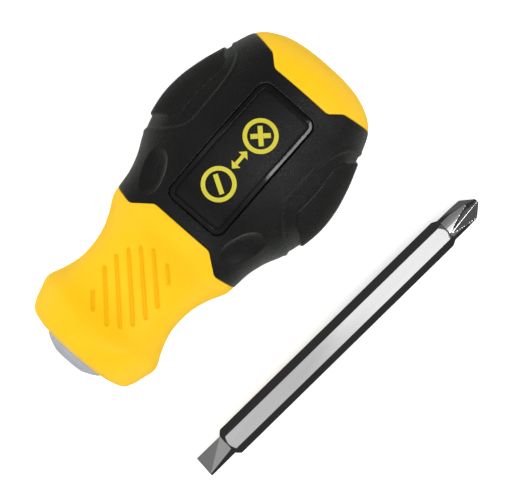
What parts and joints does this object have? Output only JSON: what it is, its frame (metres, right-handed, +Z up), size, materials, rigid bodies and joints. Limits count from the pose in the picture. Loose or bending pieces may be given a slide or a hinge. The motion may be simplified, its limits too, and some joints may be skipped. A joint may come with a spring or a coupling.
{
  "type": "reversible screwdriver",
  "caption": "Stubby two-material screwdriver handle with a hex socket in its nose, and a loose double-ended hex blade, slotted and cross-point, lying beside it.",
  "frame": {"origin": "middle of the footprint of the handle and the blade as they lie on the surface Z = 0", "axes": "+X along the handle's axis from its nose to its butt, +Y across the handle away from the blade, +Z up out of the surface and out of the handle's front face"},
  "size_m": [0.087, 0.0715, 0.0411],
  "materials": {
    "yellow_plastic": "hard moulded plastic with a satin gloss",
    "black_rubber": "soft matt moulded elastomer, finely ribbed on the side pads",
    "badge_plastic": "black plate, fine matt face inside a polished bevelled frame",
    "grey_plastic": "grey moulded plastic, satin",
    "plated_steel": "satin chrome-plated tool steel",
    "spring_steel": "drawn spring wire",
    "stop_steel": "stamped steel"
  },
  "bodies": {
    "handle": {"handle_core": "yellow_plastic", "grip_sleeve": "black_rubber", "badge_front": "badge_plastic", "badge_back": "badge_plastic", "socket_insert": "grey_plastic", "retaining_ring": "spring_steel", "stop_disc": "stop_steel"},
    "blade": {"blade": "plated_steel"}
  },
  "joints": [
    {"name": "blade_pull", "type": "slide", "parent": "handle", "child": "blade", "axis": [-0.9971, 0.0767, 0], "range_m": [0, 0.048]}
  ]
}
